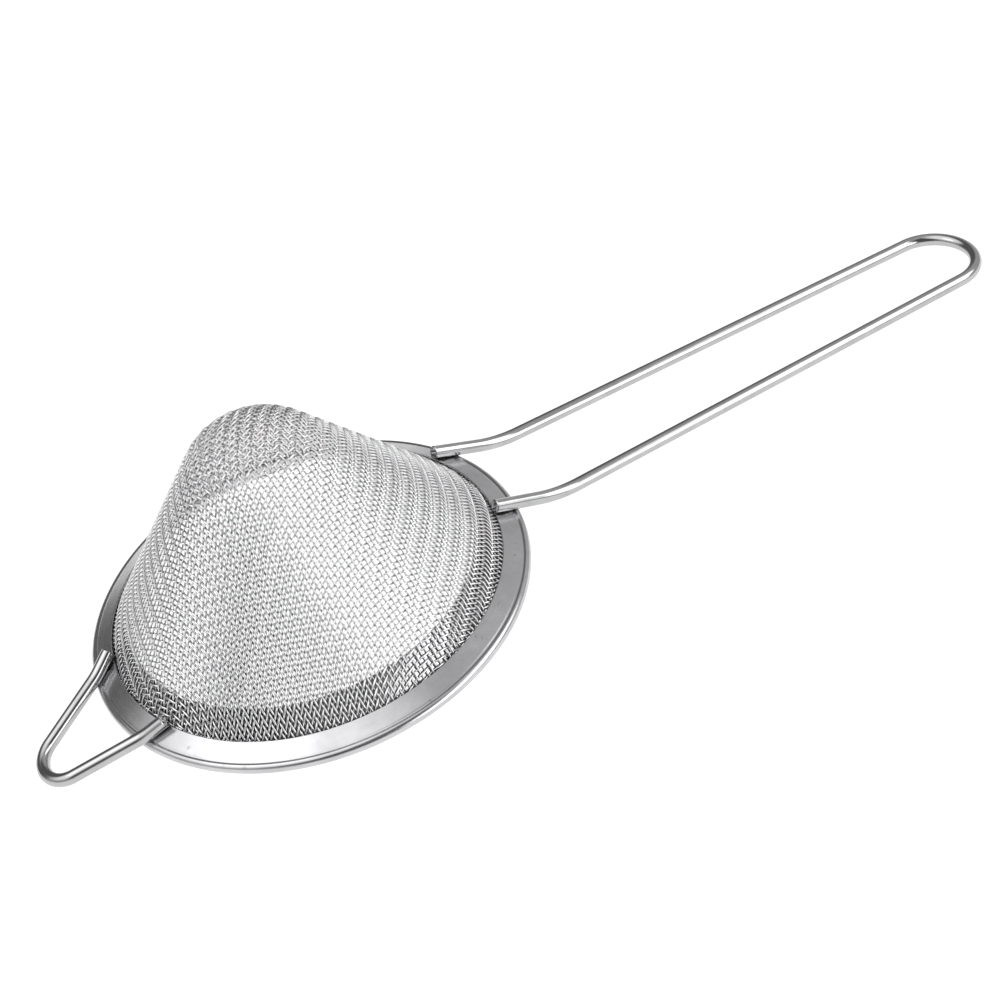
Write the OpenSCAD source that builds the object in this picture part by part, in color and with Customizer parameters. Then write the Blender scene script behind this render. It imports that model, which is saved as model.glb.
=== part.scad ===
// Conical tea strainer of stainless steel, lying mouth down with its tip up.
// Origin: on the cone's axis, at the mouth-side edge of the clamp ring's bore.
// +Z runs along the axis to the tip, +X towards the handle, -X towards the rest.

/* [Rim] */
// Diameter of the opening that the cloth rises from
mouth_d = 76; // [60:1:100]
// Width of the rim along its slope, without the rolled edge
rim_w = 4.4; // [3.4:0.1:6]
// Slope of the rim, falling outwards
dish = 26; // [20:1:32]
// Thickness of the rim's sheet steel
sheet = 0.45; // [0.4:0.05:0.6]
// Width of the rolled edge's return under the clamp ring
hem_w = 1.5; // [1:0.1:2]

/* [Cloth] */
// Thickness of the woven cloth, two wires deep
cloth = 0.7; // [0.5:0.05:0.9]
// Height of the tip above the opening's edge
cone_h = 39.9; // [36:0.1:44]
// Radius of the rounded tip, outside
tip_r = 16.2; // [12:0.1:18]

/* [Collar] */
// Height of the collar inside the cloth's foot, along the cloth
collar_h = 5.8; // [4:0.1:8]

/* [Wires] */
// Diameter of the handle's and the rest's wire
wire_d = 2.6; // [2:0.1:3]
// Gap between a wire and the rim that the weld fills
weld_gap = 0.12; // [0.1:0.01:0.2]

/* [Handle] */
// Radius of the handle's round end, to the middle of the wire
handle_end_r = 9; // [7:0.1:12]
// Angle between one side of the handle and its middle line
handle_taper = 1.1; // [0:0.1:3]
// Fall of the long sides, away from the rim
handle_fall = 6.9; // [3:0.1:12]
// Length of one long side
handle_side = 97; // [70:1:120]
// Length of the straight foot on the rim
handle_foot = 10.2; // [8:0.1:14]
// Radius of the bend between foot and side
handle_bend_r = 27; // [15:1:35]

/* [Rest] */
// Radius of the rest's round tip, to the middle of the wire
rest_end_r = 5.7; // [4:0.1:8]
// Angle between one side of the rest and its middle line
rest_taper = 19.5; // [10:0.5:26]
// Fall of the rest's sides, away from the rim
rest_fall = 14.5; // [8:0.5:16]
// Length of one side of the rest
rest_side = 13.6; // [8:0.1:16]
// Length of the rest's straight foot on the rim
rest_foot = 3.6; // [3.4:0.1:10]
// Radius of the bend between foot and side
rest_bend_r = 14; // [8:1:20]

/* [Hidden] */
$fn = 96;
mouth_r = mouth_d / 2;
// Layers of the rim, counted down from its upper face along the slope's normal
cloth_top = sheet;
clamp_top = sheet + cloth;
clamp_under = clamp_top + sheet;
hem_under = clamp_under + sheet;
// Height of the opening's upper edge over the origin
edge_z = clamp_under * cos(dish);
// Room at the bottom of the rolled edge, beyond the layers it holds
hem_play = 0.15;
hem_steps = 12;
tip_steps = 14;
// The foot of a wire starts this far out from the opening's edge
foot_inset = 0.3;
weld_l = 3;
weld_w = 1.2;
weld_start = 0.5;
weld_sunk = 0.03;
// A bend reaches this far into its neighbours, and is thinner by the step
bend_lap = 0.1;
bend_step = 0.03;
end_lap = 1;

// Point of the rim's section: s out along the slope, d down into the layers
function rim_at(s, d) = [
    mouth_r + s * cos(dish) - d * sin(dish),
    edge_z - s * sin(dish) - d * cos(dish)
];

// Point of the rolled edge's half circle of radius r; a is 0 on top and 180 underneath
function hem_at(r, a) = rim_at(rim_w + r * sin(a), hem_under / 2 - r * cos(a));

// The flank is the line from the cloth's foot that touches the tip's circle
tip_z = edge_z + cone_h - tip_r;
foot_at = rim_at(0, cloth_top);
foot_dz = tip_z - foot_at[1];
flank = acos(tip_r / norm([foot_at[0], foot_dz])) - atan2(foot_dz, foot_at[0]);
function tip_at(r, a) = [r * cos(a), tip_z + r * sin(a)];
// Point of the flank's section: t up along the slope from its foot, d in from its outside
function flank_at(t, d) = foot_at + [
    -t * sin(flank) - d * cos(flank),
    t * cos(flank) - d * sin(flank)
];
// How far up the slope a line d inside the flank reaches height z
function flank_up(z, d) = (z - foot_at[1] + d * sin(flank)) / cos(flank);

// Directions of a hairpin's long side and foot, for a wire that leaves along +X
function side_dir(taper, fall) = [-cos(taper) * cos(fall), -sin(taper), cos(taper) * sin(fall)];
function up_dir(fall) = [sin(fall), 0, cos(fall)];
function foot_dir(taper, fall, bend) =
    side_dir(taper, fall) * cos(bend) + up_dir(fall) * sin(bend);

// Way from the middle of a hairpin's round end to the end of its foot
function hairpin_way(end_r, taper, fall, side, bend_r, bend, foot) =
    end_r * [-cos(fall) * (1 - sin(taper)), -cos(taper), sin(fall) * (1 - sin(taper))]
    + side * side_dir(taper, fall)
    + bend_r * (sin(bend) * side_dir(taper, fall) + (1 - cos(bend)) * up_dir(fall))
    + foot * foot_dir(taper, fall, bend);

handle_turn = dish - handle_fall;
rest_turn = dish - rest_fall;
handle_way = hairpin_way(handle_end_r, handle_taper, handle_fall, handle_side,
    handle_bend_r, handle_turn, handle_foot);
rest_way = hairpin_way(rest_end_r, rest_taper, rest_fall, rest_side,
    rest_bend_r, rest_turn, rest_foot);

// Where the middle of a foot's end lies, for a foot that ends y off the middle line
foot_r = mouth_r + foot_inset;
foot_lift = (wire_d / 2 + weld_gap) / cos(dish);
function seat(y) = [
    sqrt(foot_r * foot_r - y * y),
    y,
    edge_z - foot_inset * tan(dish) + foot_lift
];
function round_end(way) = [seat(way[1])[0] - way[0], 0, seat(way[1])[2] - way[2]];
handle_tip = round_end(handle_way);
rest_tip = round_end(rest_way);

// A straight stretch of wire along +Z; what follows starts at its end
module straight(length) {
    cylinder(h = length, d = wire_d);
    translate([0, 0, length]) children();
}

// A bend of the wire from +Z towards +X, let into the stretches at both its ends
module bend(radius, angle) {
    let_in = bend_lap / radius * 180 / PI;
    translate([radius, 0, 0])
        rotate([90, 0, 0])
        rotate([0, 0, 180 - angle - let_in])
        rotate_extrude(angle = angle + 2 * let_in)
        translate([radius, 0])
        circle(d = wire_d - bend_step);
    translate([radius, 0, 0])
        rotate([0, angle, 0])
        translate([-radius, 0, 0])
        children();
}

// One leg of a hairpin, from the end of its round end to the end of its foot
module leg(side, bend_r, turn, foot) {
    straight(side)
        rotate([0, 0, 90])
        bend(bend_r, turn)
        straight(foot);
}

// A wire bent to a hairpin: round end at tip, sides sloping by fall, feet by fall + turn
module hairpin(tip, end_r, taper, fall, side, bend_r, turn, foot) {
    translate(tip)
        rotate([0, fall, 0]) {
            translate([-end_r, 0, 0])
                rotate([0, 0, taper - 90 - end_lap])
                rotate_extrude(angle = 180 - 2 * taper + 2 * end_lap)
                translate([end_r, 0])
                circle(d = wire_d - bend_step);
            both_sides()
                translate([-end_r, 0, 0])
                rotate([0, 0, taper - 90])
                translate([end_r, 0, 0])
                rotate([0, 0, 90])
                rotate([-90, 0, 90])
                rotate([0, 0, 180])
                leg(side, bend_r, turn, foot);
        }
}

module both_sides() {
    children();
    mirror([0, 1, 0]) children();
}

// Section of the upper ring: a sloped band whose outer edge is rolled round and under
module flange_section() {
    inner_r = hem_under / 2 - sheet;
    polygon(concat(
        [rim_at(0, 0)],
        [for (i = [0:hem_steps]) hem_at(hem_under / 2, 180 * i / hem_steps)],
        [rim_at(rim_w - hem_w, hem_under), rim_at(rim_w - hem_w, clamp_under)],
        [for (i = [hem_steps:-1:0]) hem_at(inner_r, 180 * i / hem_steps)],
        [rim_at(0, sheet)]
    ));
}

// Woven cloth as a closed shell: cone, rounded tip, and the edge held in the rim
module mesh_cone() {
    fold = -cloth * tan((90 - flank - dish) / 2);
    color("gainsboro")
        rotate_extrude()
        polygon(concat(
            [for (i = [0:tip_steps]) tip_at(tip_r, 90 + (flank - 90) * i / tip_steps)],
            [foot_at, rim_at(rim_w + hem_play, cloth_top)],
            [rim_at(rim_w + hem_play, clamp_top), rim_at(fold, clamp_top)],
            [for (i = [tip_steps:-1:0]) tip_at(tip_r - cloth, 90 + (flank - 90) * i / tip_steps)]
        ));
}

module flange_ring() {
    color("silver") rotate_extrude() flange_section();
}

// Flat sloped band on the mouth side, with a straight bore
bore_r = rim_at(0, clamp_under)[0];
bore_top = rim_at(0, clamp_top)[1] + (rim_at(0, clamp_top)[0] - bore_r) * tan(dish);
module clamp_ring() {
    color("darkgray")
        rotate_extrude()
        polygon([
            [bore_r, rim_at(0, clamp_under)[1]],
            rim_at(rim_w, clamp_under),
            rim_at(rim_w, clamp_top),
            [bore_r, bore_top]
        ]);
}

// Band of sheet that lines the cloth's foot, standing on the clamp ring's inner edge
module collar() {
    back = cloth + sheet;
    color("gray")
        rotate_extrude()
        polygon([
            flank_at(collar_h, cloth),
            flank_at(collar_h, back),
            flank_at(flank_up(bore_top, back), back),
            flank_at(flank_up(bore_top, cloth), cloth)
        ]);
}

module handle_wire() {
    color("lightgray")
        hairpin(handle_tip, handle_end_r, handle_taper, handle_fall, handle_side,
            handle_bend_r, handle_turn, handle_foot);
}

module rest_wire() {
    color("lightgray")
        mirror([1, 0, 0])
        hairpin(rest_tip, rest_end_r, rest_taper, rest_fall, rest_side,
            rest_bend_r, rest_turn, rest_foot);
}

// Weld metal under a foot that ends at the given point, sunk a little into wire and rim
module weld(point) {
    turn = atan2(point[1], point[0]);
    translate(point)
        rotate([0, dish * cos(turn), 0])
        translate([weld_start, -weld_w / 2, -wire_d / 2 - weld_gap - weld_sunk])
        cube([weld_l, weld_w, weld_gap + 2 * weld_sunk]);
}

module handle_welds() {
    color("dimgray") both_sides() weld(handle_tip + handle_way);
}

module rest_welds() {
    color("dimgray") mirror([1, 0, 0]) both_sides() weld(rest_tip + rest_way);
}

mesh_cone();
flange_ring();
clamp_ring();
collar();
handle_wire();
rest_wire();
handle_welds();
rest_welds();
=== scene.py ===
"""Conical tea strainer of stainless steel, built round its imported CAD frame.

The cloth is woven from separate warp and weft wires, the rim is turned from its
section, the handle and rest are bent from round wire, and all of it is in metres.
"""

import math

import bpy
import numpy as np
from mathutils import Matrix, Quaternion, Vector


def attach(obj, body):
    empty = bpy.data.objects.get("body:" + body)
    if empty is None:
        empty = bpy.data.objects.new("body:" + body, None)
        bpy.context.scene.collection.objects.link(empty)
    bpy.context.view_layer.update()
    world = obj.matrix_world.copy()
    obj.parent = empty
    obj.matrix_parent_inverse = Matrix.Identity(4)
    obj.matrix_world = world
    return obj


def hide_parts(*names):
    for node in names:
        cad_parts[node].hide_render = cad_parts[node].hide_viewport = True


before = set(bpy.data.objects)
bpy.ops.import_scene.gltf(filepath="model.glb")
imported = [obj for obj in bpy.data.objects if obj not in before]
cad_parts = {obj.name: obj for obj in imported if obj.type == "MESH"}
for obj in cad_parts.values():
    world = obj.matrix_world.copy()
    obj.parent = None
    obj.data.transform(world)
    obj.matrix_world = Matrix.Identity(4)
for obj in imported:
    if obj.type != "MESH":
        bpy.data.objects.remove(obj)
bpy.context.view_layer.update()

bl_info = {
    "name": "Tea strainer",
    "version": (1, 0, 0),
    "blender": (4, 5, 0),
    "location": "View3D > Sidebar > Tea strainer",
    "description": "Builds a conical stainless steel tea strainer and its studio",
    "category": "Add Mesh",
}

MM = 0.001
SEED = 41
FULL_TURN = 2 * math.pi
EDGE = 0.12 * MM  # how far cut and pressed edges are broken
RING_STEPS = 480  # steps round each turned ring
BAR_SIDES = 32  # sides of the handle's and the rest's wire
CLOTH_SIDES = 7  # sides of each wire in the cloth
CLOTH_PARTS = 3  # pieces that each set of cloth wires is shared over


# ---------------------------------------------------------------- settings


def length(name, text, mm):
    """A size property, given in millimetres and kept in metres."""
    return bpy.props.FloatProperty(
        name=name, description=text, default=mm * MM, min=0, unit="LENGTH", precision=5
    )


def angle(name, text, degrees):
    """An angle property, given in degrees and kept in radians."""
    return bpy.props.FloatProperty(
        name=name, description=text, default=math.radians(degrees), subtype="ANGLE"
    )


def hexcode(name, text, value):
    """A colour property, kept as an sRGB hex value."""
    return bpy.props.StringProperty(name=name, description=text, default=value, maxlen=7)


class RimSizes(bpy.types.PropertyGroup):
    """Sizes of the rim's two rings and of the collar inside the cloth"""

    mouth_d: length("Opening", "Diameter of the opening that the cloth rises from", 76)
    rim_w: length("Rim width", "Width of the rim along its slope, without the roll", 4.4)
    dish: angle("Slope", "Slope of the rim, falling outwards", 26)
    sheet: length("Sheet", "Thickness of the sheet steel", 0.45)
    hem_w: length("Return", "Width of the rolled edge's return underneath", 1.5)
    bead: length("Bead", "How far the rolled edge stands up over the rim's face", 0.16)
    collar_h: length("Collar", "Height of the collar along the cloth", 5.8)


class ClothSizes(bpy.types.PropertyGroup):
    """Sizes of the woven wire cloth"""

    thickness: length("Thickness", "Thickness of the cloth, two wires deep", 0.7)
    wire_d: length("Wire", "Diameter of the cloth's wire", 0.39)
    pitch: length("Pitch", "Distance from one wire of the cloth to the next", 1.05)
    cone_h: length("Height", "Height of the tip above the opening's edge", 39.9)
    tip_r: length("Tip", "Radius of the rounded tip, outside", 16.2)
    warp_turn: angle("Warp", "Direction in which the warp leaves the tip", -85.5)
    skew: angle("Skew", "Angle between warp and weft at the tip", 75)


class LoopSizes(bpy.types.PropertyGroup):
    """Sizes of one wire that is bent to a loop and welded to the rim"""

    wire_d: length("Wire", "Diameter of the wire", 2.6)
    end_r: length("Round end", "Radius of the round end, to the wire's middle", 9)
    taper: angle("Taper", "Angle between one side and the middle line", 1.1)
    fall: angle("Fall", "Fall of the sides, away from the rim", 6.9)
    side: length("Side", "Length of one side", 97)
    bend_r: length("Bend", "Radius of the bend between side and foot", 27)
    foot: length("Foot", "Length of the straight foot on the rim", 10.2)
    gap: length("Gap", "Gap between foot and rim that the weld fills", 0.12)


class SteelLooks(bpy.types.PropertyGroup):
    """Colours of the steel's finishes"""

    cloth: hexcode("Cloth", "Colour of the bright woven wire", "#E3E3E4")
    sheet: hexcode("Sheet", "Colour of the satin pressed sheet", "#C3C2C4")
    wire: hexcode("Wire", "Colour of the polished drawn wire", "#B5B5B6")
    # Partly the weld's own colour, partly painted shade: kept dark so the gap under each foot
    # reads as shadow
    weld: hexcode("Weld", "Colour of the scaled weld metal", "#454240")
    tint: hexcode("Heat tint", "Colour of the heat tint round a weld", "#2B2522")


class StudioSizes(bpy.types.PropertyGroup):
    """Camera, floor and light of the studio"""

    eye: bpy.props.FloatVectorProperty(
        name="Camera",
        description="Place of the camera",
        default=(-0.0819, -0.32335, 0.29079),
        subtype="XYZ_LENGTH",
        unit="LENGTH",
    )
    aim: bpy.props.FloatVectorProperty(
        name="Aim",
        description="Point in the middle of the picture",
        default=(0.03508, -0.01887, 0.01059),
        subtype="XYZ_LENGTH",
        unit="LENGTH",
    )
    roll: angle("Roll", "Turn of the camera about its own axis", 18.42)
    lens: bpy.props.FloatProperty(
        name="Lens", description="Focal length on a 36 mm sensor", default=84.966, unit="CAMERA"
    )
    floor: hexcode("Floor", "Colour of the floor", "#8E8E8E")
    glow: bpy.props.FloatProperty(
        name="Glow", description="Strength of the floor's own light", default=0.97, min=0
    )
    floor_w: length("Floor width", "Width of the floor", 3000)


# ---------------------------------------------------------------- mesh tools


def mesh_piece(name, points, faces, material, nodes=(), crease=40):
    """A smooth-shaded mesh piece that rides on the part and stands for CAD nodes."""
    mesh = bpy.data.meshes.new(name)
    mesh.from_pydata([tuple(p) for p in points], [], [tuple(f) for f in faces])
    mesh.validate()
    mesh.update()
    return finish_piece(name, mesh, material, nodes, crease)


def finish_piece(name, mesh, material, nodes, crease):
    """The object of a finished mesh, with its material, body and CAD nodes."""
    if not len(mesh.polygons):
        raise RuntimeError(f"{name} came out empty")
    mesh.polygons.foreach_set("use_smooth", [True] * len(mesh.polygons))
    if crease:
        mesh.set_sharp_from_angle(angle=math.radians(crease))
    mesh.materials.append(material)
    piece = bpy.data.objects.new(name, mesh)
    bpy.context.scene.collection.objects.link(piece)
    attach(piece, "root")
    if nodes:
        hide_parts(*nodes)
    return piece


def soften(section, radius, steps=3):
    """A closed section of (r, z) points with each sharp corner rounded off."""
    out = []
    count = len(section)
    for i in range(count):
        here = np.array(section[i])
        back, ahead = np.array(section[i - 1]) - here, np.array(section[(i + 1) % count]) - here
        back_l, ahead_l = np.linalg.norm(back), np.linalg.norm(ahead)
        back, ahead = back / back_l, ahead / ahead_l
        turn = math.acos(max(-1.0, min(1.0, float(-back @ ahead))))
        if turn < math.radians(25):
            out.append(here)
            continue
        cut = min(radius * math.tan(turn / 2), 0.45 * back_l, 0.45 * ahead_l)
        start, end = here + back * cut, here + ahead * cut
        for k in range(steps + 1):
            t = k / steps
            out.append((1 - t) ** 2 * start + 2 * t * (1 - t) * here + t * t * end)
    return out


def turned(section, steps, waver=0.0, lobes=(3, 5)):
    """Points and faces of a closed section turned round Z, slightly out of true."""
    section = np.array(section)
    around = np.arange(steps) * FULL_TURN / steps
    uneven = waver * sum(np.sin(n * around + n * n) for n in lobes)
    radii = section[None, :, 0] + uneven[:, None]
    lift = 0.6 * waver * sum(np.cos(n * around + 2 * n) for n in lobes)
    points = np.stack(
        [
            radii * np.cos(around)[:, None],
            radii * np.sin(around)[:, None],
            section[None, :, 1] + lift[:, None],
        ],
        -1,
    ).reshape(-1, 3)
    n = len(section)
    faces = []
    for i in range(steps):
        a, b = i * n, (i + 1) % steps * n
        for j in range(n):
            k = (j + 1) % n
            faces.append((a + j, a + k, b + k, b + j))
    return points, faces


def swept(path, radius, sides, edge):
    """A round bar along a path in space, its square ends broken by a small edge."""
    path = np.array(path)
    tangents = np.gradient(path, axis=0)
    tangents /= np.linalg.norm(tangents, axis=1)[:, None]
    normal = np.cross(tangents[0], (0.0, 0.0, 1.0))
    normal /= np.linalg.norm(normal)
    turns = np.arange(sides) * FULL_TURN / sides
    rings = []
    for i, (p, t) in enumerate(zip(path, tangents)):
        normal = normal - (normal @ t) * t
        normal /= np.linalg.norm(normal)
        across = np.cross(t, normal)
        spokes = np.cos(turns)[:, None] * normal + np.sin(turns)[:, None] * across
        if i == 0:
            rings.append(p + (radius - edge) * spokes)
            rings.append(p + edge * t + radius * spokes)
        elif i == len(path) - 1:
            rings.append(p - edge * t + radius * spokes)
            rings.append(p + (radius - edge) * spokes)
        else:
            rings.append(p + radius * spokes)
    points = np.concatenate(rings)
    faces = []
    for i in range(len(rings) - 1):
        for j in range(sides):
            k = (j + 1) % sides
            faces.append((i * sides + j, i * sides + k, (i + 1) * sides + k, (i + 1) * sides + j))
    last = (len(rings) - 1) * sides
    faces.append(tuple(range(sides - 1, -1, -1)))
    faces.append(tuple(range(last, last + sides)))
    return points, faces


# ---------------------------------------------------------------- materials


def linear(code):
    """An sRGB hex value as a linear RGBA colour."""
    out = []
    for i in (1, 3, 5):
        c = int(code[i : i + 2], 16) / 255
        out.append(c / 12.92 if c <= 0.04045 else ((c + 0.055) / 1.055) ** 2.4)
    return (*out, 1.0)


def add(tree, kind, settings, links=None):
    """A new node: settings go to its sockets or attributes, links to its inputs."""
    node = tree.nodes.new(kind)
    for key, value in settings.items():
        if isinstance(key, int) or key in node.inputs:
            node.inputs[key].default_value = value
        else:
            setattr(node, key, value)
    for key, source in (links or {}).items():
        maker, socket = source
        tree.links.new(maker.outputs[socket], node.inputs[key])
    return node


def new_material(name):
    """An empty material with its Principled shader and object coordinates."""
    material = bpy.data.materials.new(name)
    material.use_nodes = True
    tree = material.node_tree
    tree.nodes.clear()
    shader = add(tree, "ShaderNodeBsdfPrincipled", {})
    add(tree, "ShaderNodeOutputMaterial", {}, {"Surface": (shader, "BSDF")})
    where = add(tree, "ShaderNodeTexCoord", {})
    return material, tree, shader, where


def blend_ramp(tree, fac, low, high, start, end):
    """A colour ramp between two colours, driven by a factor output."""
    ramp = add(tree, "ShaderNodeValToRGB", {}, {"Fac": fac})
    ramp.color_ramp.elements[0].position = start
    ramp.color_ramp.elements[0].color = low
    ramp.color_ramp.elements[1].position = end
    ramp.color_ramp.elements[1].color = high
    return ramp


def shade(colour, factor):
    """A linear colour made darker or lighter."""
    return (*(min(1.0, c * factor) for c in colour[:3]), 1.0)


def satin_sheet(colour):
    """Stainless sheet, cold rolled and pressed, then tumbled.

    To the eye: a soft, slightly cloudy reflection, with faint rub marks round the
    ring, small pits and spots, and edges that the tumbling has left brighter.
    """
    material, tree, shader, where = new_material("Stainless sheet, pressed and tumbled")
    base = linear(colour)
    shader.inputs["Metallic"].default_value = 1.0
    # Clouds about 6 mm across, from handling and washing
    clouds = add(
        tree,
        "ShaderNodeTexNoise",
        {"Scale": 1 / (6 * MM), "Detail": 4.0, "Roughness": 0.6},
        {"Vector": (where, "Object")},
    )
    tone = blend_ramp(tree, (clouds, "Fac"), shade(base, 0.9), shade(base, 1.05), 0.35, 0.7)
    # Spots of about 0.7 mm, sparse and faint
    spots = add(
        tree,
        "ShaderNodeTexNoise",
        {"Scale": 1 / (1.4 * MM), "Detail": 2.0, "Roughness": 0.5},
        {"Vector": (where, "Object")},
    )
    dots = blend_ramp(tree, (spots, "Fac"), (1, 1, 1, 1), (0.8, 0.79, 0.78, 1), 0.68, 0.76)
    mixed = add(
        tree,
        "ShaderNodeMix",
        {"data_type": "RGBA", "blend_type": "MULTIPLY", 0: 1.0},
        {6: (tone, "Color"), 7: (dots, "Color")},
    )
    tree.links.new(mixed.outputs[2], shader.inputs["Base Color"])
    # Rub marks 0.25 mm apart that run round the ring, from the radius of each point
    apart = add(tree, "ShaderNodeSeparateXYZ", {}, {0: (where, "Object")})
    flat = add(tree, "ShaderNodeCombineXYZ", {}, {0: (apart, 0), 1: (apart, 1)})
    radius = add(tree, "ShaderNodeVectorMath", {"operation": "LENGTH"}, {0: (flat, 0)})
    height = add(
        tree,
        "ShaderNodeMath",
        {"operation": "MULTIPLY_ADD", 1: 0.5},
        {0: (apart, 2), 2: (radius, "Value")},
    )
    around = add(
        tree, "ShaderNodeMath", {"operation": "ARCTAN2"}, {0: (apart, 1), 1: (apart, 0)}
    )
    stretched = add(
        tree, "ShaderNodeMath", {"operation": "MULTIPLY", 1: 2 * MM}, {0: (around, 0)}
    )
    lines_at = add(
        tree, "ShaderNodeCombineXYZ", {}, {0: (height, 0), 1: (stretched, 0)}
    )
    rubs = add(
        tree,
        "ShaderNodeTexNoise",
        {"Scale": 1 / (0.25 * MM), "Detail": 3.0, "Roughness": 0.65},
        {"Vector": (lines_at, 0)},
    )
    polish = add(
        tree,
        "ShaderNodeMapRange",
        {"From Min": 0.3, "From Max": 0.7, "To Min": 0.2, "To Max": 0.26},
        {"Value": (rubs, "Fac")},
    )
    tree.links.new(polish.outputs[0], shader.inputs["Roughness"])
    # Grain of the tumbling, 0.12 mm
    grain = add(
        tree,
        "ShaderNodeTexNoise",
        {"Scale": 1 / (0.12 * MM), "Detail": 2.0},
        {"Vector": (where, "Object")},
    )
    rough = add(
        tree,
        "ShaderNodeMath",
        {"operation": "MULTIPLY_ADD", 1: 0.5},
        {0: (grain, "Fac"), 2: (rubs, "Fac")},
    )
    bump = add(
        tree,
        "ShaderNodeBump",
        {"Strength": 0.06, "Distance": 0.01 * MM},
        {"Height": (rough, 0)},
    )
    waves = add(
        tree,
        "ShaderNodeBump",
        {"Strength": 0.3, "Distance": 0.03 * MM},
        {"Height": (clouds, "Fac"), "Normal": (bump, 0)},
    )
    tree.links.new(waves.outputs[0], shader.inputs["Normal"])
    return material


def polished_wire(colour):
    """Stainless wire, cold drawn and electropolished.

    To the eye: a near mirror that runs along the wire, with fine drawing lines and
    a slightly dulled skin where it has been bent and handled.
    """
    material, tree, shader, where = new_material("Stainless wire, drawn and polished")
    base = linear(colour)
    shader.inputs["Metallic"].default_value = 1.0
    # Drawing lines 0.12 mm apart, stretched forty times along the wire's run
    along = add(
        tree,
        "ShaderNodeMapping",
        {"Scale": (1 / (5 * MM), 1 / (0.12 * MM), 1 / (0.12 * MM))},
        {"Vector": (where, "Object")},
    )
    lines = add(
        tree,
        "ShaderNodeTexNoise",
        {"Scale": 1.0, "Detail": 3.0, "Roughness": 0.6},
        {"Vector": (along, 0)},
    )
    smudge = add(
        tree,
        "ShaderNodeTexNoise",
        {"Scale": 1 / (4 * MM), "Detail": 3.0, "Roughness": 0.6},
        {"Vector": (where, "Object")},
    )
    tone = blend_ramp(tree, (smudge, "Fac"), shade(base, 0.9), shade(base, 1.03), 0.3, 0.65)
    tree.links.new(tone.outputs[0], shader.inputs["Base Color"])
    polish = add(
        tree,
        "ShaderNodeMapRange",
        {"From Min": 0.3, "From Max": 0.75, "To Min": 0.07, "To Max": 0.16},
        {"Value": (smudge, "Fac")},
    )
    tree.links.new(polish.outputs[0], shader.inputs["Roughness"])
    bump = add(
        tree,
        "ShaderNodeBump",
        {"Strength": 0.15, "Distance": 0.015 * MM},
        {"Height": (lines, "Fac")},
    )
    tree.links.new(bump.outputs[0], shader.inputs["Normal"])
    return material


def woven_wire(colour):
    """Stainless wire, bright annealed and woven.

    To the eye: small rounded wires with a hard glint on each crown and a light,
    uneven skin, with painted shade darkening them where they pass under one another.
    """
    material, tree, shader, where = new_material("Stainless wire cloth, bright woven")
    base = linear(colour)
    shader.inputs["Metallic"].default_value = 1.0
    skin = add(
        tree,
        "ShaderNodeTexNoise",
        {"Scale": 1 / (0.8 * MM), "Detail": 2.0, "Roughness": 0.6},
        {"Vector": (where, "Object")},
    )
    tone = blend_ramp(tree, (skin, "Fac"), shade(base, 0.9), shade(base, 1.04), 0.3, 0.7)
    # Painted shade: the colour goes near black in the corners between two wires, within 0.6 mm
    corners = add(tree, "ShaderNodeAmbientOcclusion", {"samples": 4, "Distance": 0.6 * MM})
    painted_crossing_shade = blend_ramp(tree, (corners, "AO"), (0.03, 0.03, 0.03, 1), (1, 1, 1, 1), 0.25, 0.8)
    mixed = add(
        tree,
        "ShaderNodeMix",
        {"data_type": "RGBA", "blend_type": "MULTIPLY", 0: 1.0},
        {6: (tone, "Color"), 7: (painted_crossing_shade, "Color")},
    )
    tree.links.new(mixed.outputs[2], shader.inputs["Base Color"])
    polish = add(
        tree,
        "ShaderNodeMapRange",
        {"From Min": 0.3, "From Max": 0.7, "To Min": 0.08, "To Max": 0.16},
        {"Value": (skin, "Fac")},
    )
    tree.links.new(polish.outputs[0], shader.inputs["Roughness"])
    fine = add(
        tree,
        "ShaderNodeTexNoise",
        {"Scale": 1 / (0.1 * MM), "Detail": 2.0},
        {"Vector": (where, "Object")},
    )
    bump = add(
        tree,
        "ShaderNodeBump",
        {"Strength": 0.15, "Distance": 0.01 * MM},
        {"Height": (fine, "Fac")},
    )
    tree.links.new(bump.outputs[0], shader.inputs["Normal"])
    return material


def weld_metal_with_painted_shade(colour, tint):
    """Stainless steel, spot welded and left as it cooled.

    To the eye: dull grey scale with brown heat tint, pitted, and rough enough to
    carry no clear reflection. Both colours are kept darker than the weld's own, as painted shade
    in the gap under each foot.
    """
    material, tree, shader, where = new_material("Stainless weld, heat tinted")
    shader.inputs["Metallic"].default_value = 1.0
    shader.inputs["Roughness"].default_value = 0.48
    patches = add(
        tree,
        "ShaderNodeTexNoise",
        {"Scale": 1 / (0.9 * MM), "Detail": 4.0, "Roughness": 0.6},
        {"Vector": (where, "Object")},
    )
    # Weld scale and heat tint, both darkened: partly the weld's own colour, partly painted shade
    # under the feet
    tone = blend_ramp(tree, (patches, "Fac"), linear(tint), linear(colour), 0.38, 0.62)
    tree.links.new(tone.outputs[0], shader.inputs["Base Color"])
    bump = add(
        tree,
        "ShaderNodeBump",
        {"Strength": 0.6, "Distance": 0.08 * MM},
        {"Height": (patches, "Fac")},
    )
    tree.links.new(bump.outputs[0], shader.inputs["Normal"])
    return material


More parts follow.
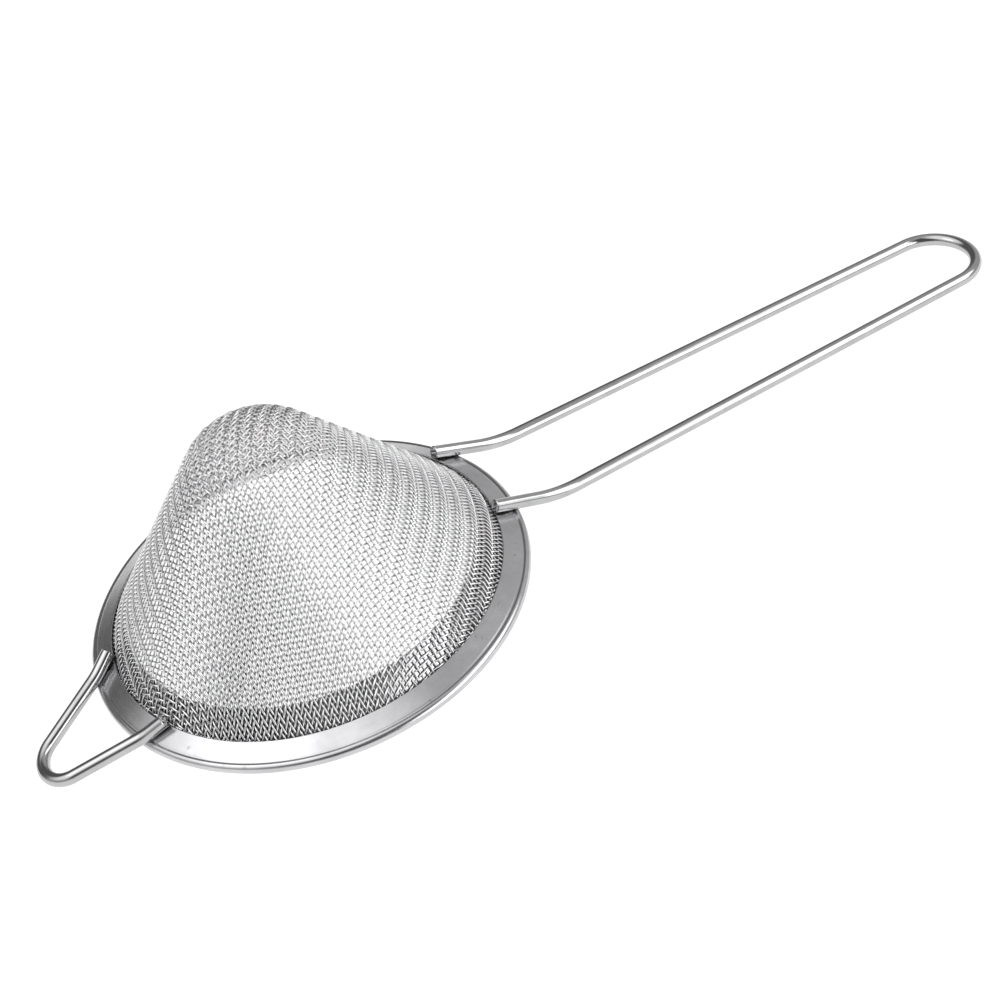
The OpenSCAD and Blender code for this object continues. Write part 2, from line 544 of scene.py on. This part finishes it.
def matt_floor(colour, glow):
    """Acrylic board, opal and matt, lit from below as well as above.

    To the eye: an even white with no grain, on which only close contact is darker.
    """
    material, tree, shader, where = new_material("Opal acrylic board, matt")
    base = linear(colour)
    haze = add(
        tree,
        "ShaderNodeTexNoise",
        {"Scale": 1 / (60 * MM), "Detail": 2.0},
        {"Vector": (where, "Object")},
    )
    tone = blend_ramp(tree, (haze, "Fac"), shade(base, 0.985), base, 0.3, 0.7)
    tree.links.new(tone.outputs[0], shader.inputs["Base Color"])
    shader.inputs["Roughness"].default_value = 0.85
    shader.inputs["Specular IOR Level"].default_value = 0.1
    shader.inputs["Emission Color"].default_value = (1, 1, 1, 1)
    shader.inputs["Emission Strength"].default_value = glow
    return material


# ---------------------------------------------------------------- shapes of the object


def rim_point(rim, s, d):
    """Point of the rim's section: s out along its slope, d down into its layers."""
    edge_z = (2 * rim.sheet + bpy.context.scene.strainer_cloth.thickness) * math.cos(rim.dish)
    c, n = math.cos(rim.dish), math.sin(rim.dish)
    return np.array((rim.mouth_d / 2 + s * c - d * n, edge_z - s * n - d * c))


def flank_line(rim, cloth):
    """Foot of the cloth's outside, the tip circle's height and the flank's normal angle."""
    foot = rim_point(rim, 0, rim.sheet)
    top = rim_point(rim, 0, 0)[1] + cloth.cone_h
    tip_z = top - cloth.tip_r
    rise = tip_z - foot[1]
    normal = math.acos(cloth.tip_r / math.hypot(foot[0], rise)) - math.atan2(rise, foot[0])
    return foot, tip_z, normal


def flank_point(rim, cloth, t, d):
    """Point of the flank's section: t up its slope from the foot, d in from outside."""
    foot, _, normal = flank_line(rim, cloth)
    up = np.array((-math.sin(normal), math.cos(normal)))
    into = np.array((-math.cos(normal), -math.sin(normal)))
    return foot + t * up + d * into


def flange_section(rim):
    """The upper ring: a sloped band, a slight groove, and the edge rolled round and under."""
    cloth_t = bpy.context.scene.strainer_cloth.thickness
    under = 3 * rim.sheet + cloth_t
    middle = (under - rim.bead) / 2
    outer_r = (under + rim.bead) / 2
    inner_r = outer_r - rim.sheet
    groove_w = 0.9 * MM
    groove_d = 0.07 * MM
    face_steps = 12
    steps = 20
    face = []
    for i in range(face_steps + 1):
        t = i / face_steps
        s = (rim.rim_w - groove_w) * t
        face.append(rim_point(rim, s, 0))
    # The face dips into the groove and climbs onto the bead in one smooth line
    for i in range(1, face_steps):
        t = i / face_steps
        dip = groove_d * math.sin(math.pi * t) ** 2 - rim.bead * t**3 * (10 - 15 * t + 6 * t * t)
        face.append(rim_point(rim, rim.rim_w - groove_w * (1 - t), dip))
    roll = []
    for i in range(steps + 1):
        a = math.pi * i / steps
        roll.append(
            rim_point(rim, rim.rim_w + outer_r * math.sin(a), middle - outer_r * math.cos(a))
        )
    inside = []
    for i in range(steps, -1, -1):
        a = math.pi * i / steps
        inside.append(
            rim_point(rim, rim.rim_w + inner_r * math.sin(a), middle - inner_r * math.cos(a))
        )
    end_s = rim.rim_w - rim.hem_w
    lip = [rim_point(rim, end_s, under), rim_point(rim, end_s, under - rim.sheet)]
    foot = [rim_point(rim, rim.rim_w - groove_w, rim.sheet), rim_point(rim, 0, rim.sheet)]
    return face + roll + lip + inside + foot


def cloth_profile(rim, cloth):
    """Middle line of the cloth from tip to edge, and the same with a straight flank."""
    half = cloth.thickness / 2
    _, tip_z, normal = flank_line(rim, cloth)
    r = cloth.tip_r - half
    step = 0.02 * MM
    arc_steps = int(r * (math.pi / 2 - normal) / step)
    arc = [
        np.array((r * math.cos(a), tip_z + r * math.sin(a)))
        for a in np.linspace(math.pi / 2, normal, arc_steps)
    ]
    start = arc[-1]
    down = np.array((math.sin(normal), -math.cos(normal)))
    out_dir = np.array((math.cos(rim.dish), -math.sin(rim.dish)))
    base = rim_point(rim, 0, rim.sheet + half)
    # Where the flank's middle line meets the rim's middle line
    flank_l, _ = np.linalg.solve(np.stack([down, -out_dir], 1), base - start)
    fold_r = 0.9 * MM
    fold = (math.pi / 2 - normal) - rim.dish
    cut = fold_r * math.tan(fold / 2)
    corner = start + flank_l * down
    straight = [start + t * down for t in np.arange(step, flank_l - cut, step)]
    bend = []
    a, b = corner - cut * down, corner + cut * out_dir
    bend_steps = max(8, int(fold_r * fold / step))
    for k in range(bend_steps + 1):
        t = k / bend_steps
        bend.append((1 - t) ** 2 * a + 2 * t * (1 - t) * corner + t * t * b)
    edge = rim.rim_w - 0.1 * MM
    edge_l = edge - (b - base) @ out_dir
    last = [b + t * out_dir for t in np.arange(step, edge_l, step)]
    folded = np.array(arc + straight + bend + last)
    beyond = 25 * MM
    plain = np.array(arc + [start + t * down for t in np.arange(step, flank_l + beyond, step)])
    return folded, plain


def along(profile):
    """Distances along a profile from its first point."""
    steps = np.linalg.norm(np.diff(profile, axis=0), axis=1)
    return np.concatenate([[0.0], np.cumsum(steps)])


def lay_on(profile, way, places):
    """Flat places, polar round the tip, laid onto the surface that the profile turns."""
    far = np.linalg.norm(places, axis=-1)
    safe = np.maximum(far, 1e-12)
    r = np.interp(far, way, profile[:, 0])
    z = np.interp(far, way, profile[:, 1])
    return np.stack([places[..., 0] / safe * r, places[..., 1] / safe * r, z], -1)


def weave_net(profile, way, pitch, warp_turn, skew, count):
    """Crossings of a net whose meshes all keep their side length on the surface.

    Cloth that is pressed over a form slides and shears but hardly stretches, so every
    crossing lies one pitch from its two neighbours nearer the tip.
    """
    size = 2 * count + 1
    net = np.full((size, size, 2), np.nan)
    net[count, count] = 0

    def surface(p):
        return lay_on(profile, way, p)

    for arm, turn in ((net[:, count], warp_turn), (net[count], warp_turn - skew)):
        course = np.array((math.cos(turn), math.sin(turn)))
        for k in range(1, count + 1):
            arm[count + k] = course * pitch * k
            arm[count - k] = -course * pitch * k
    nudge = 1e-6
    for su in (1, -1):
        for sv in (1, -1):
            for diagonal in range(2, 2 * count + 1):
                i = np.arange(max(1, diagonal - count), min(count, diagonal - 1) + 1)
                j = diagonal - i
                here = (count + su * i, count + sv * j)
                one = net[count + su * (i - 1), count + sv * j]
                two = net[count + su * i, count + sv * (j - 1)]
                corner = net[count + su * (i - 1), count + sv * (j - 1)]
                a, b = surface(one), surface(two)
                p = one + two - corner

                def misses(q):
                    s = surface(q)
                    return np.stack(
                        [
                            np.linalg.norm(s - a, axis=-1) - pitch,
                            np.linalg.norm(s - b, axis=-1) - pitch,
                        ],
                        -1,
                    )

                for _ in range(8):
                    f = misses(p)
                    fx = (misses(p + np.array((nudge, 0))) - f) / nudge
                    fy = (misses(p + np.array((0, nudge))) - f) / nudge
                    det = fx[:, 0] * fy[:, 1] - fx[:, 1] * fy[:, 0]
                    det = np.where(np.abs(det) < 1e-3, 1e-3, det)
                    dx = (f[:, 0] * fy[:, 1] - f[:, 1] * fy[:, 0]) / det
                    dy = (fx[:, 0] * f[:, 1] - fx[:, 1] * f[:, 0]) / det
                    step = np.clip(np.stack([dx, dy], -1), -0.4 * pitch, 0.4 * pitch)
                    p = p - step
                net[here] = p
    return net


def wire_groups(net, way, cloth, rng):
    """Warp and weft wires: flat places and heights over the cloth's middle surface."""
    count = (net.shape[0] - 1) // 2
    fine = 4  # points on a wire for each crossing
    reach = way[-1]
    jitter = 0.05 * cloth.pitch
    crimp = 1.5  # how squarely a wire steps from one side to the other
    groups = {"warp": [], "weft": []}
    for kind in groups:
        wires = net.transpose(1, 0, 2) if kind == "warp" else net
        for index in range(-count, count + 1):
            nodes = wires[index + count]
            good = np.linalg.norm(nodes, axis=-1) < reach + cloth.pitch
            good &= ~np.isnan(nodes[:, 0])
            shift = rng.normal(0, jitter, 2)
            phase = rng.uniform(0, FULL_TURN)
            if good.sum() < 3:
                continue
            first, last = np.flatnonzero(good)[[0, -1]]
            steps = np.arange(first, last + 1 / fine / 2, 1 / fine)
            knots = np.arange(first, last + 1)
            run = nodes[first : last + 1]
            flat = np.stack([np.interp(steps, knots, run[:, k]) for k in (0, 1)], -1)
            slow = np.sin(steps * 0.21 + phase)[:, None]
            flat = flat + shift * (0.6 + 0.4 * slow)
            keep = np.linalg.norm(flat, axis=-1) <= reach
            flat, steps = flat[keep], steps[keep]
            if len(flat) < 6:
                continue
            # Twill: each wire runs over two and under two, one step on from its neighbour
            place = (steps - count) - index if kind == "warp" else index - (steps - count)
            swing = np.cos(math.pi / 2 * (place - 0.5))
            height = np.tanh(crimp * swing) / math.tanh(crimp)
            if kind == "weft":
                height = -height
            groups[kind].append((flat, height * cloth.wire_d / 2))
    return groups


def surface_frame(folded, way, flat):
    """Points of the cloth's middle surface and their outward normals."""
    points = lay_on(folded, way, flat)
    far = np.linalg.norm(flat, axis=-1)
    tangent = np.gradient(folded, axis=0)
    tangent /= np.linalg.norm(tangent, axis=1)[:, None]
    tr = np.interp(far, way, tangent[:, 0])
    tz = np.interp(far, way, tangent[:, 1])
    out = flat / np.maximum(far, 1e-12)[:, None]
    normals = np.stack([-tz * out[:, 0], -tz * out[:, 1], tr], -1)
    return points, normals / np.linalg.norm(normals, axis=1)[:, None]


def cloth_mesh(name, wires, folded, way, radius, sides):
    """One mesh of many thin wires, each a closed tube."""
    turns = np.arange(sides) * FULL_TURN / sides
    points, quads, caps = [], [], []
    offset = 0
    for flat, height in wires:
        middle, normal = surface_frame(folded, way, flat)
        middle = middle + normal * height[:, None]
        tangent = np.gradient(middle, axis=0)
        tangent /= np.linalg.norm(tangent, axis=1)[:, None]
        normal = normal - (normal * tangent).sum(1)[:, None] * tangent
        normal /= np.linalg.norm(normal, axis=1)[:, None]
        across = np.cross(tangent, normal)
        rings = middle[:, None] + radius * (
            np.cos(turns)[None, :, None] * normal[:, None]
            + np.sin(turns)[None, :, None] * across[:, None]
        )
        n = len(middle)
        points.append(rings.reshape(-1, 3))
        grid = offset + np.arange(n * sides).reshape(n, sides)
        ahead = np.roll(grid, -1, axis=1)
        quads.append(
            np.stack([grid[:-1], ahead[:-1], ahead[1:], grid[1:]], -1).reshape(-1, 4)
        )
        caps.append(grid[0][::-1])
        caps.append(grid[-1])
        offset += n * sides
    points = np.concatenate(points)
    quads = np.concatenate(quads)
    caps = np.array(caps)
    mesh = bpy.data.meshes.new(name)
    corners = np.concatenate([quads.ravel(), caps.ravel()]).astype(np.int32)
    starts = np.concatenate(
        [np.arange(len(quads)) * 4, len(quads) * 4 + np.arange(len(caps)) * sides]
    ).astype(np.int32)
    mesh.vertices.add(len(points))
    mesh.vertices.foreach_set("co", points.astype(np.float32).ravel())
    mesh.loops.add(len(corners))
    mesh.loops.foreach_set("vertex_index", corners)
    mesh.polygons.add(len(starts))
    mesh.polygons.foreach_set("loop_start", starts)
    mesh.update(calc_edges=True)
    mesh.validate()
    return mesh


def loop_ways(rim, loop, toward):
    """The loop's middle line from foot end to foot end, its tip, and where it is welded."""
    slope_turn = rim.dish - loop.fall
    a = np.array((-math.cos(loop.fall), 0.0, math.sin(loop.fall)))
    up = np.array((math.sin(loop.fall), 0.0, math.cos(loop.fall)))

    def leg(side):
        """Points from the round end's middle to the foot's end, with the tip at the origin."""
        y = np.array((0.0, side, 0.0))
        out = []
        centre = loop.end_r * a
        for k in np.linspace(0, math.pi / 2 - loop.taper, 40):
            out.append(centre - loop.end_r * math.cos(k) * a + loop.end_r * math.sin(k) * y)
        run = math.cos(loop.taper) * a + math.sin(loop.taper) * y
        start = out[-1]
        for t in np.linspace(0, loop.side, 60)[1:]:
            out.append(start + t * run)
        start = out[-1]
        for k in np.linspace(0, slope_turn, 30)[1:]:
            out.append(
                start + loop.bend_r * (math.sin(k) * run + (1 - math.cos(k)) * up)
            )
        start = out[-1]
        final = math.cos(slope_turn) * run + math.sin(slope_turn) * up
        for t in np.linspace(0, loop.foot, 16)[1:]:
            out.append(start + t * final)
        return np.array(out), final

    near, foot_near = leg(-1.0)
    far, foot_far = leg(1.0)
    # The foot's end stands on the rim, this far out from the opening's edge
    inset = 0.3 * MM
    seat_r = rim.mouth_d / 2 + inset
    y_end = far[-1][1]
    lift = (loop.wire_d / 2 + loop.gap) / math.cos(rim.dish)
    seat = np.array(
        (
            math.sqrt(seat_r**2 - y_end**2),
            y_end,
            rim_point(rim, 0, 0)[1] - inset * math.tan(rim.dish) + lift,
        )
    )
    tip = seat - far[-1]
    tip[1] = 0.0
    flip = np.array((toward, 1.0, 1.0))
    path = np.concatenate([near[::-1], far[1:]]) + tip
    ends = [(near[-1] + tip, foot_near), (far[-1] + tip, foot_far)]
    return path * flip, [(p * flip, f * flip) for p, f in ends]


def bead_mesh(rng, rim, loop, ends):
    """Lumps of weld metal that fill the gap under the feet, a little uneven at the sides."""
    points, faces = [], []
    rings, sides = 14, 20
    half = np.array((1.6, 1.0, 0.2)) * MM
    reach = 2.0 * MM
    for end, foot in ends:
        turn = math.atan2(end[1], end[0])
        slope = math.sin(rim.dish)
        up = np.array((slope * math.cos(turn), slope * math.sin(turn), math.cos(rim.dish)))
        back = -foot / np.linalg.norm(foot)
        back = back - (back @ up) * up
        back /= np.linalg.norm(back)
        across = np.cross(up, back)
        middle = end + reach * back - (loop.wire_d / 2 + loop.gap / 2) * up
        wobble = rng.uniform(0, FULL_TURN, 3)
        base = len(points)

        def place(lat, lon):
            swell = 1 + 0.09 * math.sin(3 * lon + wobble[0]) * math.sin(2 * lat + wobble[1])
            swell += 0.06 * math.sin(5 * lon + wobble[2]) * math.sin(lat)
            a, b, c = half * swell * np.array(
                (math.cos(lat), math.sin(lat) * math.cos(lon), math.sin(lat) * math.sin(lon))
            )
            return middle + a * back + b * across + c * up

        points.append(place(0.0, 0.0))
        for i in range(1, rings):
            for j in range(sides):
                points.append(place(math.pi * i / rings, FULL_TURN * j / sides))
        points.append(place(math.pi, 0.0))
        last = base + (rings - 1) * sides + 1
        for j in range(sides):
            k = (j + 1) % sides
            faces.append((base, base + 1 + k, base + 1 + j))
            faces.append((last, last - sides + j, last - sides + k))
            for i in range(rings - 2):
                low, high = base + 1 + i * sides, base + 1 + (i + 1) * sides
                faces.append((low + j, low + k, high + k, high + j))
    return points, faces


# ---------------------------------------------------------------- operators


class STRAINER_OT_cloth(bpy.types.Operator):
    """Weave the wire cloth over the cone"""

    bl_idname = "strainer.cloth"
    bl_label = "Weave cloth"

    def execute(self, context):
        scene = context.scene
        rim, cloth = scene.strainer_rim, scene.strainer_cloth
        folded, plain = cloth_profile(rim, cloth)
        folded_way, plain_way = along(folded), along(plain)
        count = int(folded_way[-1] / cloth.pitch) + 3
        net = weave_net(plain, plain_way, cloth.pitch, cloth.warp_turn, cloth.skew, count)
        rng = np.random.default_rng(SEED)
        groups = wire_groups(net, folded_way, cloth, rng)
        material = woven_wire(scene.strainer_steel.cloth)
        for kind, wires in groups.items():
            if not wires:
                raise RuntimeError(f"no {kind} wires were woven")
            totals = np.cumsum([len(w[0]) for w in wires])
            share = np.minimum((totals - 1) * CLOTH_PARTS // totals[-1], CLOTH_PARTS - 1)
            for part in range(CLOTH_PARTS):
                chosen = [w for w, s in zip(wires, share) if s == part]
                name = f"cloth_{kind}_{part + 1}"
                radius = cloth.wire_d / 2
                mesh = cloth_mesh(name, chosen, folded, folded_way, radius, CLOTH_SIDES)
                finish_piece(name, mesh, material, ("mesh_cone",), 0)
        return {"FINISHED"}


class STRAINER_OT_rim(bpy.types.Operator):
    """Press the rim's two rings and the collar inside the cloth"""

    bl_idname = "strainer.rim"
    bl_label = "Press rim"

    def execute(self, context):
        scene = context.scene
        rim, cloth = scene.strainer_rim, scene.strainer_cloth
        material = satin_sheet(scene.strainer_steel.sheet)
        waver = 0.03 * MM
        points, faces = turned(soften(flange_section(rim), EDGE), RING_STEPS, waver)
        mesh_piece("flange_ring", points, faces, material, ("flange_ring",), 50)
        clamp_top = rim.sheet + cloth.thickness
        clamp_under = clamp_top + rim.sheet
        bore = rim_point(rim, 0, clamp_under)
        top = rim_point(rim, 0, clamp_top)
        bore_top = np.array((bore[0], top[1] + (top[0] - bore[0]) * math.tan(rim.dish)))
        section = [
            bore,
            rim_point(rim, rim.rim_w, clamp_under),
            rim_point(rim, rim.rim_w, clamp_top),
            bore_top,
        ]
        points, faces = turned(soften(section, EDGE), RING_STEPS)
        mesh_piece("clamp_ring", points, faces, material, ("clamp_ring",), 50)
        foot, _, normal = flank_line(rim, cloth)

        def reach(d):
            return (bore_top[1] - foot[1] + d * math.sin(normal)) / math.cos(normal)

        front, back = cloth.thickness, cloth.thickness + rim.sheet
        section = [
            flank_point(rim, cloth, rim.collar_h, front),
            flank_point(rim, cloth, rim.collar_h, back),
            flank_point(rim, cloth, reach(back), back),
            flank_point(rim, cloth, reach(front), front),
        ]
        points, faces = turned(soften(section, EDGE), RING_STEPS)
        mesh_piece("collar", points, faces, material, ("collar",), 50)
        return {"FINISHED"}


class STRAINER_OT_wires(bpy.types.Operator):
    """Bend the handle and the rest and weld them to the rim"""

    bl_idname = "strainer.wires"
    bl_label = "Bend and weld wires"

    def execute(self, context):
        scene = context.scene
        rim = scene.strainer_rim
        wire = polished_wire(scene.strainer_steel.wire)
        weld = weld_metal_with_painted_shade(scene.strainer_steel.weld, scene.strainer_steel.tint)
        rng = np.random.default_rng(SEED + 1)
        for name, loop, toward in (
            ("handle", scene.strainer_handle, 1.0),
            ("rest", scene.strainer_rest, -1.0),
        ):
            path, ends = loop_ways(rim, loop, toward)
            points, faces = swept(path, loop.wire_d / 2, BAR_SIDES, EDGE)
            node = f"{name}_wire"
            mesh_piece(node, points, faces, wire, (node,), 40)
            points, faces = bead_mesh(rng, rim, loop, ends)
            node = f"{name}_welds"
            mesh_piece(node, points, faces, weld, (node,), 0)
        return {"FINISHED"}


class STRAINER_OT_studio(bpy.types.Operator):
    """Lay the floor under the strainer and set camera and light"""

    bl_idname = "strainer.studio"
    bl_label = "Set studio"

    def execute(self, context):
        scene = context.scene
        studio = scene.strainer_studio
        lay_floor(studio)
        hang_light(scene)
        camera_data = bpy.data.cameras.new("camera")
        camera_data.lens = studio.lens
        camera_data.sensor_width = 36
        camera_data.clip_start, camera_data.clip_end = 0.01, 20
        camera = bpy.data.objects.new("camera", camera_data)
        eye, aim = Vector(studio.eye), Vector(studio.aim)
        facing = (eye - aim).to_track_quat("Z", "Y")
        camera.rotation_mode = "QUATERNION"
        camera.rotation_quaternion = facing @ Quaternion((0, 0, 1), -studio.roll)
        camera.location = eye
        scene.collection.objects.link(camera)
        scene.camera = camera
        scene.view_settings.view_transform = "Standard"
        return {"FINISHED"}


def lay_floor(studio):
    """A floor that touches the handle's end and the rest's tip, on which the part stands."""
    handle = np.array([v.co for v in bpy.data.objects["handle_wire"].data.vertices])
    rest = np.array([v.co for v in bpy.data.objects["rest_wire"].data.vertices])
    # The tilt in radians, halved down until both wires touch
    low, high = -0.3, 0.3
    for _ in range(40):
        tilt = (low + high) / 2
        up = np.array((math.sin(tilt), 0.0, math.cos(tilt)))
        if (handle @ up).min() < (rest @ up).min():
            low = tilt
        else:
            high = tilt
    height = (handle @ up).min()
    half = studio.floor_w / 2
    ahead = np.array((math.cos(tilt), 0.0, -math.sin(tilt)))
    side = np.array((0.0, 1.0, 0.0))
    cells = 12
    points = [
        up * height + ahead * half * (2 * i / cells - 1) + side * half * (2 * j / cells - 1)
        for i in range(cells + 1)
        for j in range(cells + 1)
    ]
    faces = [
        (
            i * (cells + 1) + j,
            (i + 1) * (cells + 1) + j,
            (i + 1) * (cells + 1) + j + 1,
            i * (cells + 1) + j + 1,
        )
        for i in range(cells)
        for j in range(cells)
    ]
    mesh = bpy.data.meshes.new("floor")
    mesh.from_pydata(points, [], faces)
    mesh.materials.append(matt_floor(studio.floor, studio.glow))
    floor = bpy.data.objects.new("floor", mesh)
    bpy.context.scene.collection.objects.link(floor)


def heading(azimuth, elevation):
    """A direction, its azimuth counted from +X towards +Y."""
    a, e = math.radians(azimuth), math.radians(elevation)
    return (math.cos(a) * math.cos(e), math.sin(a) * math.cos(e), math.sin(e))


def hang_light(scene):
    """A soft room, and a softbox high over the rest's side.

    The walls are grey, with a broad light patch overhead, a strip of three patches at
    the front right, and a dark patch at the back and at the front.
    """
    world = bpy.data.worlds.new("soft_room")
    scene.world = world
    world.use_nodes = True
    tree = world.node_tree
    tree.nodes.clear()
    where = add(tree, "ShaderNodeTexCoord", {})
    # Each patch: direction, half width in degrees, soft edge in degrees, brightness
    patches = (
        (heading(96, 28), 30, 22, 0.16),
        (heading(-112, 44), 26, 20, 0.12),
        (heading(170, 66), 22, 22, 1.55),
        (heading(-70, 16), 9, 10, 3.0),
        (heading(-48, 27), 9, 10, 3.0),
        (heading(-22, 38), 9, 10, 3.0),
    )
    walls = 0.58
    level = None
    for facing, width, soft, bright in patches:
        near = add(
            tree,
            "ShaderNodeVectorMath",
            {"operation": "DOT_PRODUCT", 1: facing},
            {0: (where, "Generated")},
        )
        share = add(
            tree,
            "ShaderNodeMapRange",
            {
                "interpolation_type": "SMOOTHSTEP",
                "From Min": math.cos(math.radians(width + soft)),
                "From Max": math.cos(math.radians(width)),
            },
            {"Value": (near, "Value")},
        )
        mix = add(
            tree,
            "ShaderNodeMix",
            {"data_type": "FLOAT", 2: walls, 3: bright},
            {0: (share, 0)},
        )
        if level is not None:
            tree.links.new(level.outputs[0], mix.inputs[2])
        level = mix
    back = add(tree, "ShaderNodeBackground", {"Color": (1, 1, 1, 1)}, {"Strength": (level, 0)})
    add(tree, "ShaderNodeOutputWorld", {}, {"Surface": (back, 0)})
    data = bpy.data.lights.new("key_softbox", "AREA")
    data.shape = "SQUARE"
    data.size = 340 * MM
    data.energy = 0.3
    lamp = bpy.data.objects.new("key_softbox", data)
    distance = 700 * MM
    spot = Vector(heading(165, 62)) * distance
    lamp.location = spot
    lamp.rotation_mode = "QUATERNION"
    lamp.rotation_quaternion = spot.to_track_quat("Z", "Y")
    scene.collection.objects.link(lamp)


class STRAINER_PT_panel(bpy.types.Panel):
    """Lists the sizes of the strainer and the buttons that build its pieces"""

    bl_idname = "STRAINER_PT_panel"
    bl_label = "Tea strainer"
    bl_space_type = "VIEW_3D"
    bl_region_type = "UI"
    bl_category = "Tea strainer"

    def draw(self, context):
        for name, _ in SETTINGS:
            group = getattr(context.scene, name)
            box = self.layout.box()
            for key in group.__annotations__:
                box.prop(group, key)
        for kind in OPERATORS:
            self.layout.operator(kind.bl_idname)


SETTINGS = (
    ("strainer_rim", RimSizes),
    ("strainer_cloth", ClothSizes),
    ("strainer_handle", LoopSizes),
    ("strainer_rest", LoopSizes),
    ("strainer_steel", SteelLooks),
    ("strainer_studio", StudioSizes),
)
OPERATORS = (STRAINER_OT_rim, STRAINER_OT_cloth, STRAINER_OT_wires, STRAINER_OT_studio)


def register():
    for group in dict.fromkeys(kind for _, kind in SETTINGS):
        bpy.utils.register_class(group)
    for name, kind in SETTINGS:
        setattr(bpy.types.Scene, name, bpy.props.PointerProperty(type=kind))
    for kind in (*OPERATORS, STRAINER_PT_panel):
        bpy.utils.register_class(kind)


def unregister():
    for kind in (STRAINER_PT_panel, *reversed(OPERATORS)):
        bpy.utils.unregister_class(kind)
    for name, _ in SETTINGS:
        delattr(bpy.types.Scene, name)
    for group in reversed(dict.fromkeys(kind for _, kind in SETTINGS)):
        bpy.utils.unregister_class(group)


def main():
    register()
    rest = bpy.context.scene.strainer_rest
    rest.end_r = 5.7 * MM
    rest.taper = math.radians(19.5)
    rest.fall = math.radians(14.5)
    rest.side = 13.6 * MM
    rest.bend_r = 14 * MM
    rest.foot = 3.6 * MM
    bpy.ops.strainer.rim()
    bpy.ops.strainer.cloth()
    bpy.ops.strainer.wires()
    bpy.ops.strainer.studio()


if __name__ == "__main__":
    main()
